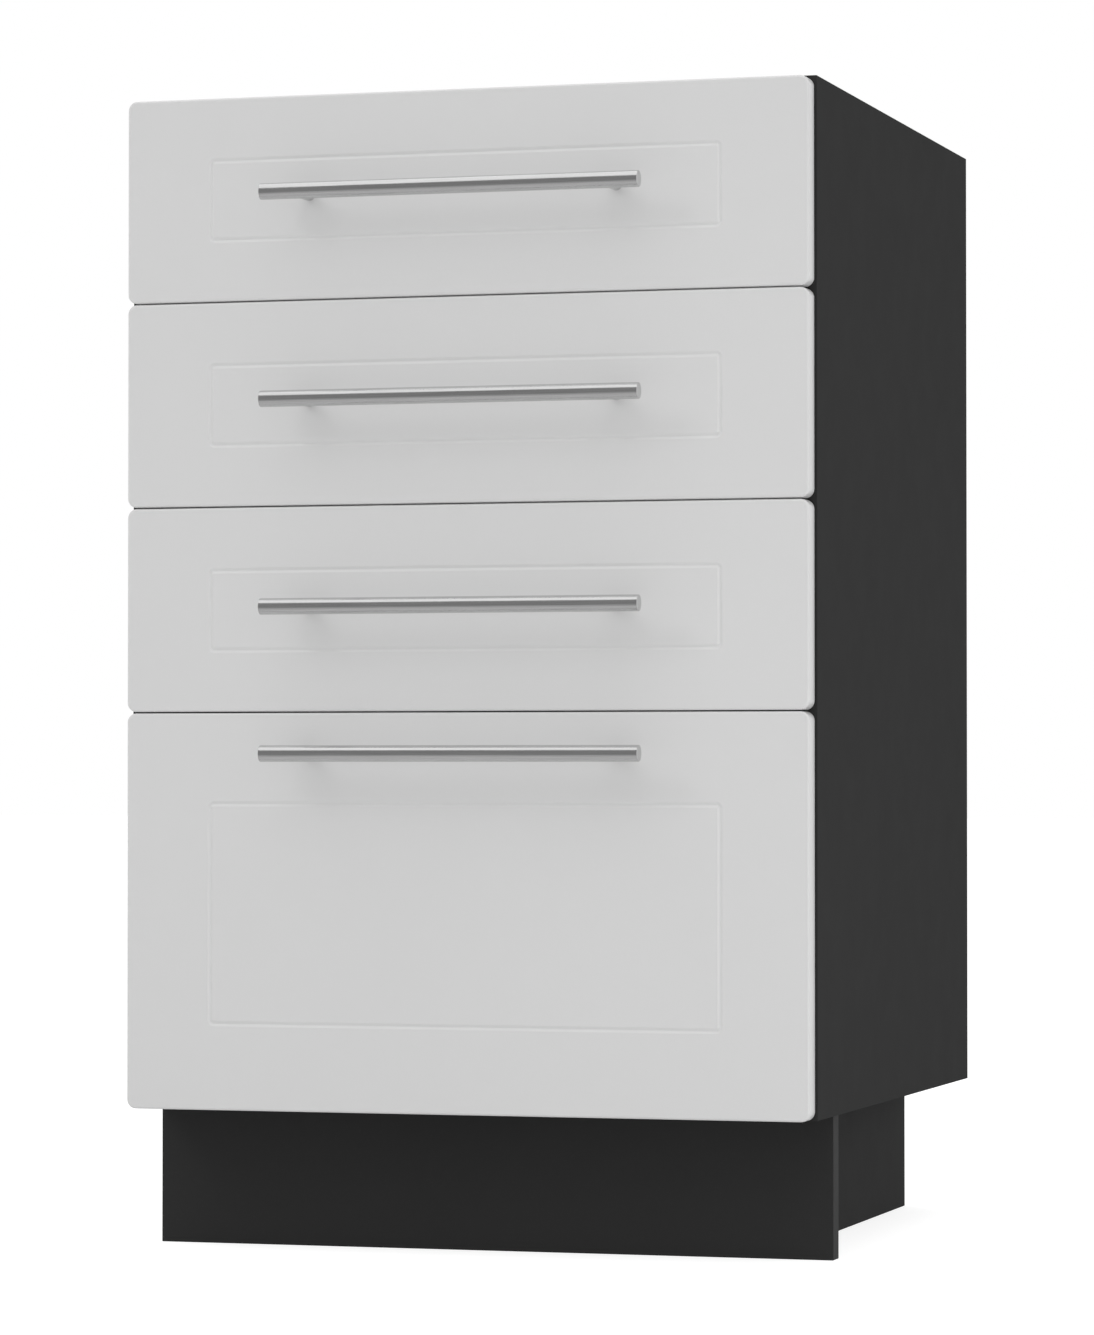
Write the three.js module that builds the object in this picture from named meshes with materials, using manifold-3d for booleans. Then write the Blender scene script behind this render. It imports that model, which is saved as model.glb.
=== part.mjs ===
// Base cabinet with four drawers: a chipboard carcass on a plinth base, drawer boxes on three-member
// ball runners, milled fronts and bar handles.
// Millimetres, +Z up, the user stands on the -Y side. The origin lies on the floor, at the centre of
// the footprint, handles included.
import * as THREE from "three";
import { mergeVertices } from "three/addons/utils/BufferGeometryUtils.js";
import Module from "manifold-3d";

const wasm = await Module();
wasm.setup();

// ---- Sheet goods
const BOARD = 16; // laminated chipboard of the carcass, the base and the drawer boxes
const HARDBOARD = 3.2; // back panel and drawer bottoms
const PANEL_FIT = 0.3; // play of a thin panel in its groove or rebate

// ---- Carcass
const CARCASS_WIDTH = 500;
const SIDE_DEPTH = 495;
const RAIL_DEPTH = 100; // front and rear top rails, laid flat
const REBATE_WIDTH = 8; // how far the back panel covers the rear edge of a side

// ---- Base
const BASE_HEIGHT = 100;
const PLINTH_SETBACK = 70; // from the faces of the fronts to the plinth board
const PLINTH_END_GAP = 2; // from the carcass's outer face to the end of the plinth board
const BASE_INSET = 50; // from the carcass's outer face to the base's side board

// ---- Drawer fronts
const SMALL_FRONT_HEIGHT = 143.8;
const LARGE_FRONT_HEIGHT = 279.4;
const SMALL_FRONTS = 3; // the large front is below them
const FRONT_THICKNESS = 16;
const FRONT_GAP = 0.9; // between neighbouring fronts
const FRONT_SIDE_REVEAL = 1.75; // carcass edge left showing beside the fronts
const FRONT_TOP_REVEAL = 1.6; // carcass edge left showing above the top front
const FRONT_SEAT_GAP = 0.5; // a closed front stops short of the carcass edges by its bumper pads
const FRONT_CORNER_RADIUS = 6.5;
const FRONT_ARRIS_RADIUS = 1.8;

// ---- Milled groove in the fronts
const GROOVE_WIDTH = 4.4;
const GROOVE_DEPTH = 0.9;
const GROOVE_CORNER_RADIUS = 5; // of its outer edge
const GROOVE_SIDE_INSET = 60.6;
const SMALL_GROOVE_TOP = 42.2; // from a small front's top edge to its groove
const SMALL_GROOVE_BOTTOM = 41.2; // the same from its bottom edge
const LARGE_GROOVE_TOP = 61.6;
const LARGE_GROOVE_BOTTOM = 58.8;

// ---- Bar handles
const HANDLE_DIAMETER = 11.5;
const HANDLE_END_CHAMFER = 0.6;
const HANDLE_STANDOFF = 31.25; // from the front's face to the bar's axis
const POST_SPACING = 224;
const HANDLE_OVERHANG = 25; // from a post's axis to the end of the bar
const POST_DIAMETER = 8;
const SMALL_HANDLE_DROP = 71; // from a small front's top edge to the bar's axis
const LARGE_HANDLE_DROP = 28.7; // the same on the large front

// ---- Drawer boxes
const BOX_FLOOR_GAP = 6; // under the lowest box, above the carcass bottom
const BOX_RAIL_GAP = 17; // over the highest box, under the top rail
const BOTTOM_RISE = 12; // from the box's lower edge to its bottom panel
const BOTTOM_GROOVE_DEPTH = 6;

// ---- Ball runners
const RUNNER_SPACE = 13; // between carcass side and drawer box, filled by the runner
const RUNNER_BOX_GAP = 1.6; // from the cabinet member's lips to the drawer box
const RUNNER_HEIGHT = 45.5;
const RUNNER_STEEL = 1.2;
const RUNNER_PLAY = 0.3; // between the balls' tracks
const RUNNER_SETBACK = 2; // behind the carcass's front edge
const RUNNER_REAR_SPACE = 43; // from the runners to the carcass's rear edge, back panel included
const RUNNER_RISE = 45; // from the box's lower edge to the runner's centre line
const RUNNER_LIP = 3.5; // inward lip on the cabinet member's flanges
const BALL_TRACK = 2.65; // height of a ball cage standing out of the intermediate member
const SLIDE_PLAY = 0.65; // from the cabinet member's lip to the intermediate member's flange
const CAGE_SETBACK = 3.4; // from the cabinet member's web to the outer ball cages
const MID_SETBACK = 1.2; // from the cabinet member's web to the intermediate member's web
const MID_SHORTER = 30; // how much shorter the intermediate member is

// ---- Facet counts of the round stretches
const CORNER_STEPS = 5;
const ARRIS_STEPS = 3;
const GROOVE_STEPS = 6;
const BAR_SIDES = 32;
const POST_SIDES = 20;

// ---- Places worked out from the sizes above
const handleLength = POST_SPACING + 2 * HANDLE_OVERHANG;
const handleReach = HANDLE_STANDOFF + HANDLE_DIAMETER / 2;
const totalDepth = handleReach + FRONT_THICKNESS + FRONT_SEAT_GAP + SIDE_DEPTH;
const faceY = -totalDepth / 2 + handleReach; // faces of the fronts
const frontBackY = faceY + FRONT_THICKNESS;
const carcassFrontY = frontBackY + FRONT_SEAT_GAP;
const carcassRearY = carcassFrontY + SIDE_DEPTH;
const panelFrontY = carcassRearY - HARDBOARD; // front face of the back panel
const outerX = CARCASS_WIDTH / 2;
const innerX = outerX - BOARD;
const boxOuterX = innerX - RUNNER_SPACE;
const boxInnerX = boxOuterX - BOARD;
const runnerFrontY = carcassFrontY + RUNNER_SETBACK;
const runnerLength = carcassRearY - RUNNER_REAR_SPACE - runnerFrontY;
const boxRearY = frontBackY + runnerLength; // a box is as long as its runners
const frontHalfWidth = outerX - FRONT_SIDE_REVEAL;
const smallPitch = SMALL_FRONT_HEIGHT + FRONT_GAP;
const carcassHeight = LARGE_FRONT_HEIGHT + SMALL_FRONTS * smallPitch + FRONT_TOP_REVEAL;
const boxLift = BOARD + BOX_FLOOR_GAP; // from a front's lower edge to its box
const boxDrop = BOARD + BOX_RAIL_GAP - FRONT_TOP_REVEAL; // from a front's upper edge to its box

// ---- Materials
const finish = (color, roughness, metalness) => () =>
  new THREE.MeshStandardMaterial({ color, roughness, metalness });
const graphite = finish(0x36373a, 0.55, 0);
const greyFoil = finish(0xcdcdcf, 0.5, 0);
const paleBoard = finish(0xdadad8, 0.6, 0);
const paleHardboard = finish(0xc9c8c4, 0.7, 0);
const brushedSteel = finish(0xa9aaac, 0.35, 1);
const zincSteel = finish(0xb4b8bc, 0.4, 1);

const named = (name, geometry, material) => {
  const mesh = new THREE.Mesh(geometry, material());
  mesh.name = name;
  return mesh;
};

// ---- Shapes. Faces that touch are written from the same values, so they meet exactly.

// A board between two opposite corners.
function board([x0, x1], [y0, y1], [z0, z1]) {
  const geometry = new THREE.BoxGeometry(1, 1, 1);
  const p = geometry.attributes.position;
  for (let i = 0; i < p.count; i++)
    p.setXYZ(i, p.getX(i) < 0 ? x0 : x1, p.getY(i) < 0 ? y0 : y1, p.getZ(i) < 0 ? z0 : z1);
  return geometry;
}

// A prism: its outline is drawn in two axes, and it runs along the third between two places. The
// place function turns the three into x, y and z, and never mirrors them.
function prism(outline, place, from, to) {
  const area = THREE.ShapeUtils.area(outline);
  const shape = new THREE.Shape(area > 0 ? outline : [...outline].reverse());
  const geometry = new THREE.ExtrudeGeometry(shape, { depth: 1, bevelEnabled: false });
  const p = geometry.attributes.position;
  for (let i = 0; i < p.count; i++)
    p.setXYZ(i, ...place(p.getX(i), p.getY(i), p.getZ(i) > 0.5 ? to : from));
  return geometry;
}

// Closed rings of equally many points, joined one to the next. With capped, the first and last rings
// are filled, otherwise the last ring joins the first.
function ringSolid(rings, capped) {
  const count = rings[0].length;
  const vertices = rings.flat(2);
  const faces = [];
  for (let r = 0; r < rings.length - (capped ? 1 : 0); r++)
    for (let i = 0; i < count; i++) {
      const j = (i + 1) % count;
      const a = r * count;
      const b = ((r + 1) % rings.length) * count;
      faces.push(a + i, a + j, b + j, a + i, b + j, b + i);
    }
  if (capped)
    for (let i = 1; i < count - 1; i++) {
      const last = (rings.length - 1) * count;
      faces.push(0, i + 1, i, last, last + i, last + i + 1);
    }
  const geometry = new THREE.BufferGeometry();
  geometry.setAttribute("position", new THREE.Float32BufferAttribute(vertices, 3));
  return geometry.setIndex(faces);
}

// An upright rectangle with round corners, facing -Y, as a ring of points.
function roundedRing(halfWidth, low, high, radius, y) {
  const ring = [];
  const centres = [[1, high, 0], [-1, high, 1], [-1, low, 2], [1, low, 3]];
  for (const [side, z, quarter] of centres)
    for (let i = 0; i <= CORNER_STEPS; i++) {
      const turn = (quarter + i / CORNER_STEPS) * (Math.PI / 2);
      const cx = side * (halfWidth - radius);
      const cz = z === high ? z - radius : z + radius;
      ring.push([cx + radius * Math.cos(turn), y, cz + radius * Math.sin(turn)]);
    }
  return ring;
}

// A round bar between two points of one axis, with chamfered ends.
function roundBar(radius, length, chamfer, sides) {
  const half = length / 2;
  const profile = [
    new THREE.Vector2(0, -half),
    new THREE.Vector2(radius - chamfer, -half),
    new THREE.Vector2(radius, -half + chamfer),
    new THREE.Vector2(radius, half - chamfer),
    new THREE.Vector2(radius - chamfer, half),
    new THREE.Vector2(0, half),
  ];
  return new THREE.LatheGeometry(profile, sides);
}

function solidOf(geometry) {
  const bare = geometry.clone();
  bare.deleteAttribute("normal");
  bare.deleteAttribute("uv");
  const merged = mergeVertices(bare, 1e-4);
  const { array } = merged.attributes.position;
  return new wasm.Manifold(
    new wasm.Mesh({ numProp: 3, vertProperties: array, triVerts: new Uint32Array(merged.index.array) }),
  );
}

function geometryOf(solid) {
  const { vertProperties, triVerts } = solid.getMesh();
  const geometry = new THREE.BufferGeometry();
  geometry.setAttribute("position", new THREE.BufferAttribute(vertProperties, 3));
  return geometry.setIndex(new THREE.BufferAttribute(triVerts, 1));
}

const cut = (geometry, ...cutters) =>
  geometryOf(cutters.reduce((solid, cutter) => solid.subtract(solidOf(cutter)), solidOf(geometry)));

const join = (geometry, ...others) =>
  geometryOf(others.reduce((solid, other) => solid.add(solidOf(other)), solidOf(geometry)));

const mirrorX = (points) => points.map(([x, y]) => [-x, y]);
const vectors = (points) => points.map(([x, y]) => new THREE.Vector2(x, y));
const SIDES = [["left", -1], ["right", 1]];
const span = (side, a, b) => (side < 0 ? [-b, -a] : [a, b]); // from a to b outwards on that side

// ---- Carcass, from its own lower edge up

function carcassSide(side) {
  // seen from above, with the rebate for the back panel at the rear inner edge
  const rebateX = outerX - REBATE_WIDTH;
  const outline = [
    [innerX, carcassFrontY],
    [outerX, carcassFrontY],
    [outerX, carcassRearY],
    [rebateX, carcassRearY],
    [rebateX, panelFrontY],
    [innerX, panelFrontY],
  ];
  const placed = side < 0 ? mirrorX(outline) : outline;
  return prism(vectors(placed), (x, y, z) => [x, y, z], 0, carcassHeight);
}

function makeCarcass() {
  const group = new THREE.Group();
  const between = [-innerX, innerX];
  const railZ = [carcassHeight - BOARD, carcassHeight];
  const backX = outerX - REBATE_WIDTH - PANEL_FIT;
  for (const [word, side] of SIDES) group.add(named(`side_${word}`, carcassSide(side), graphite));
  group.add(
    named("bottom_panel", board(between, [carcassFrontY, panelFrontY], [0, BOARD]), graphite),
    named("front_rail", board(between, [carcassFrontY, carcassFrontY + RAIL_DEPTH], railZ), graphite),
    named("rear_rail", board(between, [panelFrontY - RAIL_DEPTH, panelFrontY], railZ), graphite),
    named("back_panel", board([-backX, backX], [panelFrontY, carcassRearY], [0, carcassHeight]), graphite),
  );
  return group;
}

// ---- Base, from the floor up

function makeBase() {
  const group = new THREE.Group();
  const plinthX = outerX - PLINTH_END_GAP;
  const plinthY = faceY + PLINTH_SETBACK;
  const plinthBackY = plinthY + BOARD;
  const sideX = outerX - BASE_INSET;
  const tall = [0, BASE_HEIGHT];
  group.add(named("plinth_board", board([-plinthX, plinthX], [plinthY, plinthBackY], tall), graphite));
  for (const [word, side] of SIDES)
    group.add(
      named(
        `base_side_${word}`,
        board(span(side, sideX - BOARD, sideX), [plinthBackY, carcassRearY], tall),
        graphite,
      ),
    );
  const crossX = sideX - BOARD;
  group.add(
    named("base_rear", board([-crossX, crossX], [carcassRearY - BOARD, carcassRearY], tall), graphite),
  );
  return group;
}

// ---- Drawer, from its front's lower edge up

// The front board before its cuts: a plate whose face edges are rounded over.
function frontPlate(height) {
  const rings = [roundedRing(frontHalfWidth, 0, height, FRONT_CORNER_RADIUS, frontBackY)];
  for (let i = 0; i <= ARRIS_STEPS; i++) {
    const turn = (i / ARRIS_STEPS) * (Math.PI / 2);
    const inset = FRONT_ARRIS_RADIUS * (1 - Math.cos(turn));
    const y = faceY + FRONT_ARRIS_RADIUS * (1 - Math.sin(turn));
    const radius = FRONT_CORNER_RADIUS - inset;
    rings.push(roundedRing(frontHalfWidth - inset, inset, height - inset, radius, y));
  }
  return ringSolid(rings, true);
}

// The milled groove round the front's field: a shallow cove with eased lips, closed just above the
// face. Its outer edge lies at the two heights given.
function grooveCutter(low, high) {
  const above = GROOVE_DEPTH / 2;
  const ringAt = (across, y) => {
    const halfWidth = frontHalfWidth - GROOVE_SIDE_INSET - across;
    const radius = Math.max(GROOVE_CORNER_RADIUS - across, GROOVE_CORNER_RADIUS / 10);
    return roundedRing(halfWidth, low + across, high - across, radius, y);
  };
  const rings = [ringAt(GROOVE_WIDTH, faceY - above)]; // from the inner edge to the outer one
  for (let i = GROOVE_STEPS; i >= 0; i--) {
    const t = i / GROOVE_STEPS;
    rings.push(ringAt(t * GROOVE_WIDTH, faceY + GROOVE_DEPTH * Math.sin(Math.PI * t) ** 2));
  }
  rings.push(ringAt(0, faceY - above));
  return ringSolid(rings, false);
}

function drawerFront(height, grooveLow, grooveHigh) {
  const bottomX = boxInnerX + BOTTOM_GROOVE_DEPTH;
  const grooveZ = boxLift + BOTTOM_RISE;
  const bottomGroove = board(
    [-bottomX, bottomX],
    [frontBackY - BOTTOM_GROOVE_DEPTH, frontBackY + BOTTOM_GROOVE_DEPTH],
    [grooveZ - PANEL_FIT, grooveZ + HARDBOARD + PANEL_FIT],
  );
  return cut(frontPlate(height), grooveCutter(grooveLow, grooveHigh), bottomGroove);
}

function handle(axisZ) {
  const axisY = faceY - HANDLE_STANDOFF;
  const bar = roundBar(HANDLE_DIAMETER / 2, handleLength, HANDLE_END_CHAMFER, BAR_SIDES);
  bar.rotateZ(Math.PI / 2).translate(0, axisY, axisZ);
  const posts = SIDES.map(([, side]) => {
    const circle = new THREE.Path().absarc(0, 0, POST_DIAMETER / 2, 0, 2 * Math.PI);
    const outline = circle.getPoints(POST_SIDES / 2).slice(0, -1);
    const x = (side * POST_SPACING) / 2;
    return prism(outline, (u, down, y) => [x + u, y, axisZ - down], axisY, faceY);
  });
  return join(bar, ...posts);
}

function boxSide(side, height) {
  const z = [boxLift, boxLift + height];
  const plank = board(span(side, boxInnerX, boxOuterX), [frontBackY, boxRearY], z);
  const grooveZ = boxLift + BOTTOM_RISE;
  const groove = board(
    span(side, boxInnerX - BOTTOM_GROOVE_DEPTH, boxInnerX + BOTTOM_GROOVE_DEPTH),
    [frontBackY - BOARD, boxRearY + BOARD],
    [grooveZ - PANEL_FIT, grooveZ + HARDBOARD + PANEL_FIT],
  );
  return cut(plank, groove);
}

// Sections of the three runner members, as points across from the carcass side and up from the
// runner's centre line. Each is drawn for its upper half and mirrored.
function runnerSections() {
  const t = RUNNER_STEEL;
  const outerTop = RUNNER_HEIGHT / 2;
  const outerReach = RUNNER_SPACE - RUNNER_BOX_GAP;
  const trackTop = outerTop - t - RUNNER_PLAY; // top of the outer ball cages
  const midTop = outerTop - RUNNER_LIP - SLIDE_PLAY;
  const midWeb = t + MID_SETBACK;
  const midUnder = midTop - t;
  const drawerWeb = RUNNER_SPACE - t;
  const cageLow = midUnder - BALL_TRACK + RUNNER_PLAY; // underside of the inner ball cages
  const drawerTop = cageLow - RUNNER_PLAY;
  const lipX = midWeb + t + SLIDE_PLAY + t; // where the drawer member's upturned lips start
  const cabinet = [
    [0, outerTop],
    [outerReach, outerTop],
    [outerReach, outerTop - RUNNER_LIP],
    [outerReach - t, outerTop - RUNNER_LIP],
    [outerReach - t, outerTop - t],
    [t, outerTop - t],
  ];
  const middle = [
    [midWeb, midTop],
    [t + CAGE_SETBACK, midTop],
    [t + CAGE_SETBACK, trackTop],
    [outerReach - t - RUNNER_PLAY, trackTop],
    [outerReach - t - RUNNER_PLAY, midTop],
    [outerReach, midTop],
    [outerReach, cageLow],
    [lipX + t + RUNNER_PLAY, cageLow],
    [lipX + t + RUNNER_PLAY, midUnder],
    [midWeb + t, midUnder],
  ];
  const drawer = [
    [RUNNER_SPACE, drawerTop],
    [lipX + t, drawerTop],
    [lipX + t, midUnder - RUNNER_PLAY],
    [lipX, midUnder - RUNNER_PLAY],
    [lipX, drawerTop - t],
    [drawerWeb, drawerTop - t],
  ];
  const whole = (half) => [...half, ...half.map(([u, v]) => [u, -v]).reverse()];
  return { cabinet: whole(cabinet), middle: whole(middle), drawer: whole(drawer) };
}

const sections = runnerSections();

function runnerMember(section, side, length) {
  const outline = vectors(sections[section].map(([u, v]) => [side * (innerX - u), v]));
  const centreZ = boxLift + RUNNER_RISE;
  return prism(outline, (x, down, y) => [x, y, centreZ - down], runnerFrontY, runnerFrontY + length);
}

function makeDrawer(number, height, grooveTop, grooveBottom, handleDrop) {
  const group = new THREE.Group();
  const boxHeight = height - boxLift - boxDrop;
  const bottomX = boxInnerX + BOTTOM_GROOVE_DEPTH - PANEL_FIT;
  const bottomZ = boxLift + BOTTOM_RISE;
  const bottomTop = bottomZ + HARDBOARD;
  const bottomFrontY = frontBackY - BOTTOM_GROOVE_DEPTH + PANEL_FIT;
  const add = (name, geometry, material) => group.add(named(`${name}_${number}`, geometry, material));
  add("drawer_front", drawerFront(height, grooveBottom, height - grooveTop), greyFoil);
  add("handle", handle(height - handleDrop), brushedSteel);
  for (const [word, side] of SIDES) add(`box_side_${word}`, boxSide(side, boxHeight), paleBoard);
  add(
    "box_back",
    board([-boxInnerX, boxInnerX], [boxRearY - BOARD, boxRearY], [bottomTop, boxLift + boxHeight]),
    paleBoard,
  );
  add(
    "box_bottom",
    board([-bottomX, bottomX], [bottomFrontY, boxRearY], [bottomZ, bottomTop]),
    paleHardboard,
  );
  for (const [word, side] of SIDES) {
    add(`runner_cabinet_${word}`, runnerMember("cabinet", side, runnerLength), zincSteel);
    add(`runner_middle_${word}`, runnerMember("middle", side, runnerLength - MID_SHORTER), zincSteel);
    add(`runner_drawer_${word}`, runnerMember("drawer", side, runnerLength), zincSteel);
  }
  return group;
}

// ---- The whole cabinet

const cabinet = new THREE.Group();
const carcass = makeCarcass();
carcass.position.z = BASE_HEIGHT;
cabinet.add(makeBase(), carcass);

for (let i = 0; i < SMALL_FRONTS; i++) {
  const drawer = makeDrawer(
    i + 1,
    SMALL_FRONT_HEIGHT,
    SMALL_GROOVE_TOP,
    SMALL_GROOVE_BOTTOM,
    SMALL_HANDLE_DROP,
  );
  drawer.position.z = LARGE_FRONT_HEIGHT + FRONT_GAP + (SMALL_FRONTS - 1 - i) * smallPitch;
  carcass.add(drawer);
}
carcass.add(
  makeDrawer(
    SMALL_FRONTS + 1,
    LARGE_FRONT_HEIGHT,
    LARGE_GROOVE_TOP,
    LARGE_GROOVE_BOTTOM,
    LARGE_HANDLE_DROP,
  ),
);

export default cabinet;
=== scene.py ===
import math

import bmesh
import bpy
from mathutils import Matrix, Vector


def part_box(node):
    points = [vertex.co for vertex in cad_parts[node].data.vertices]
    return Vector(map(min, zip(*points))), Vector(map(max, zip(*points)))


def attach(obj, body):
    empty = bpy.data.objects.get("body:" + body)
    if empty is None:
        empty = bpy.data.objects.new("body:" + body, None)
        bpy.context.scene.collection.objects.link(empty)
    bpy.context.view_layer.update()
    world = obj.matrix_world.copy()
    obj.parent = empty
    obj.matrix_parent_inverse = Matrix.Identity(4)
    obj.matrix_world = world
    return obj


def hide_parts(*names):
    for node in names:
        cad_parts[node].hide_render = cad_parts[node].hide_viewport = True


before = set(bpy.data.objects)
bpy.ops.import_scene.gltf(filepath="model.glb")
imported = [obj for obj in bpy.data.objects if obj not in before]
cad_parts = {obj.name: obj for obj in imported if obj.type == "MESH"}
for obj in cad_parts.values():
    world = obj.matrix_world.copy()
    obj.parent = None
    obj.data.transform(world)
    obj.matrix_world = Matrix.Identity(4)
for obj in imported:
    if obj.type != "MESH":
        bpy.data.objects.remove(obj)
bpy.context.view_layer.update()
scene = bpy.context.scene

DRAWERS = (1, 2, 3, 4)
SIDES = (("left", -1), ("right", 1))
MM = 0.001

# ---- Sizes that the boxes of the model's nodes don't give

# Drawer fronts
FRONT_CORNER_RADIUS = 6.5 * MM
FRONT_ARRIS_RADIUS = 1.8 * MM
FRONT_BACK_BEVEL = 0.5 * MM
GROOVE_WIDTH = 4.4 * MM
GROOVE_DEPTH = 0.9 * MM
GROOVE_CORNER_RADIUS = 5 * MM  # of its outer edge
GROOVE_LEAST_RADIUS = 0.4 * MM  # of its corners further in
GROOVE_SIDE_INSET = 60.6 * MM
SMALL_GROOVE_INSETS = (42.2 * MM, 41.2 * MM)  # from the top and from the bottom of the front
LARGE_GROOVE_INSETS = (61.6 * MM, 58.8 * MM)
PANEL_FIT = 0.3 * MM  # play of a drawer bottom in its groove

# Bar handles
POST_SPACING = 224 * MM
POST_RADIUS = 4 * MM
BAR_END_ROUNDING = 0.6 * MM
BAR_END_RING = 1.6 * BAR_END_ROUNDING  # from the bar's skin to the innermost ring of its end face
HANDLE_SCREW_RADIUS = 4 * MM
HANDLE_SCREW_HEIGHT = 2.2 * MM

# Carcass
BOARD_BEVEL = 0.35 * MM
RAIL_HOLE_RADIUS = 3 * MM
RAIL_HOLE_REACH = 20 * MM  # above and below the rail's middle
RAIL_HOLE_PLACES = (-0.38, -0.12, 0.12, 0.38)  # along the rail, as shares of its length
BACK_SINK = {"radius": 2.6 * MM, "depth": 1.4 * MM, "above": 0.5 * MM}  # its countersink
BACK_SCREW_FIT = 0.05 * MM
BACK_SCREW_DOME = 0.12 * MM
BACK_SCREW_DEPTH = 0.25 * MM  # of its head under the panel's rear face
BACK_SCREW_MARGIN = 4.5 * MM
BACK_SCREW_END_MARGIN = 45 * MM
BACK_SCREW_COLUMNS = 4
BACK_SCREW_ROWS = 6

# Drawer boxes
CAM_HOLE_RADIUS = 7.5 * MM
CAM_HOLE_DEPTH = 12 * MM
CAM_FIT = 0.1 * MM
CAM_DOME = 0.4 * MM
CAM_CONE = 0.3 * MM
CAM_SETBACK = 24 * MM
CAM_DEPTH = 0.9 * MM  # of its face under the board's
CAM_ABOVE_EDGE = 30 * MM
CAM_BELOW_EDGE = 20 * MM
BOX_SINK = {"radius": 3.6 * MM, "depth": 2 * MM, "above": 1 * MM}
BOX_SCREW_FIT = 0.1 * MM
BOX_SCREW_DOME = 0.15 * MM
BOX_SCREW_DEPTH = 0.2 * MM
BOX_SCREW_MARGIN = 18 * MM
PAD_RADIUS = 4 * MM
PAD_TIP_RADIUS = 3.4 * MM
PAD_MARGIN = 22 * MM

# Ball runners
STEEL_BEVEL = 0.3 * MM
RUNNER_STEEL = 1.2 * MM
RUNNER_SCREW_RADIUS = 3.4 * MM
RUNNER_SCREW_HEIGHTS = {"cabinet": 0.9 * MM, "drawer": 1.8 * MM}
RUNNER_SCREW_PLACES = (0.07, 0.38, 0.66, 0.93)  # along the member, as shares of its length
OUTER_SLOTS = (64 * MM, 16 * MM, 4.6 * MM)  # spacing, length and width, in the outer members' webs
MIDDLE_SLOTS = (60 * MM, 30 * MM, 9 * MM)
SLOT_CUT = 6 * MM  # thickness of the cutter, which reaches through the web
MIDDLE_WEB = 2.4 * MM  # from the carcass side to the intermediate member's web
MIDDLE_TIP = 11.4 * MM  # and to the tips of its flanges
MIDDLE_HALF_HEIGHT = 18.6 * MM
CAGE_HALF_WIDTH = 2.1 * MM
CAGE_THICKNESS = 0.7 * MM
CAGE_BEVEL = 0.1 * MM
CAGE_END_GAP = 2 * MM
OUTER_CAGE = (MIDDLE_HALF_HEIGHT + 1.32 * MM, 7.25 * MM)  # height over the centre, distance from the side
INNER_CAGE = (MIDDLE_HALF_HEIGHT - RUNNER_STEEL - 1.17 * MM, 9.2 * MM)
BALL_RADIUS = 1.25 * MM
BALL_PITCH = 7 * MM


# ---- Finish of the meshes

TOUCHING = 0.01 * MM  # what is nearer than this lies in the same plane
SHARP_ANGLE = 35  # degrees; what turns less is smoothed over
SCREW_SIDES = 28
DRILL_SIDES = 32


# ---- Materials


def add_node(tree, kind, inputs=(), **settings):
    """A node with its settings, whose inputs are values or the outputs of other nodes."""
    node = tree.nodes.new(kind)
    for key, value in settings.items():
        setattr(node, key, value)
    for key, value in dict(inputs).items():
        if isinstance(value, bpy.types.NodeSocket):
            tree.links.new(value, node.inputs[key])
        else:
            node.inputs[key].default_value = value
    return node


def calculated(tree, operation, first, second=0.0):
    """The output of a math node on one value or two."""
    return add_node(tree, "ShaderNodeMath", {0: first, 1: second}, operation=operation).outputs[0]


def stretched(tree, x=1, y=1, z=1):
    """Places on the object in metres, stretched along the axes."""
    place = add_node(tree, "ShaderNodeTexCoord")
    mapping = add_node(tree, "ShaderNodeMapping", {"Vector": place.outputs["Object"], "Scale": (x, y, z)})
    return mapping.outputs["Vector"]


def noise(tree, vector, scale=1, detail=3, rough=0.5):
    """Noise with about that many features to the metre."""
    settings = {"Vector": vector, "Scale": scale, "Detail": detail, "Roughness": rough}
    return add_node(tree, "ShaderNodeTexNoise", settings).outputs["Fac"]


def between(tree, value, low, high, start=0.3, end=0.7):
    """The value's stretch from start to end, spread from low to high."""
    settings = {"Value": value, "From Min": start, "From Max": end, "To Min": low, "To Max": high}
    return add_node(tree, "ShaderNodeMapRange", settings).outputs["Result"]


def blended(tree, factor, first, second):
    """A colour from the first to the second, each a colour or an output."""
    node = tree.nodes.new("ShaderNodeMix")
    node.data_type = "RGBA"
    tree.links.new(factor, node.inputs[0])
    for socket, value in ((node.inputs[6], first), (node.inputs[7], second)):
        if isinstance(value, bpy.types.NodeSocket):
            tree.links.new(value, socket)
        else:
            socket.default_value = (*value, 1)
    return node.outputs[2]


def bumped(tree, height, depth, strength=1.0, below=None):
    """A bump of that depth in metres, laid over another if below is given."""
    settings = {"Height": height, "Distance": depth, "Strength": strength}
    if below is not None:
        settings["Normal"] = below
    return add_node(tree, "ShaderNodeBump", settings).outputs["Normal"]


def new_material(name, specular=0.5, metallic=0.0):
    """A material and its tree, with those numbers on its surface shader."""
    material = bpy.data.materials.new(name)
    material.use_nodes = True
    tree = material.node_tree
    shader = tree.nodes["Principled BSDF"]
    shader.inputs["Specular IOR Level"].default_value = specular
    shader.inputs["Metallic"].default_value = metallic
    return material, tree


def surfaced(material, colour, roughness, normal):
    """The material, with those outputs on its surface shader."""
    tree = material.node_tree
    shader = tree.nodes["Principled BSDF"]
    tree.links.new(colour, shader.inputs["Base Color"])
    tree.links.new(roughness, shader.inputs["Roughness"])
    tree.links.new(normal, shader.inputs["Normal"])
    return material


def shade(colour, factor):
    """The colour, darker or lighter by the factor."""
    return tuple(c * factor for c in colour)


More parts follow.
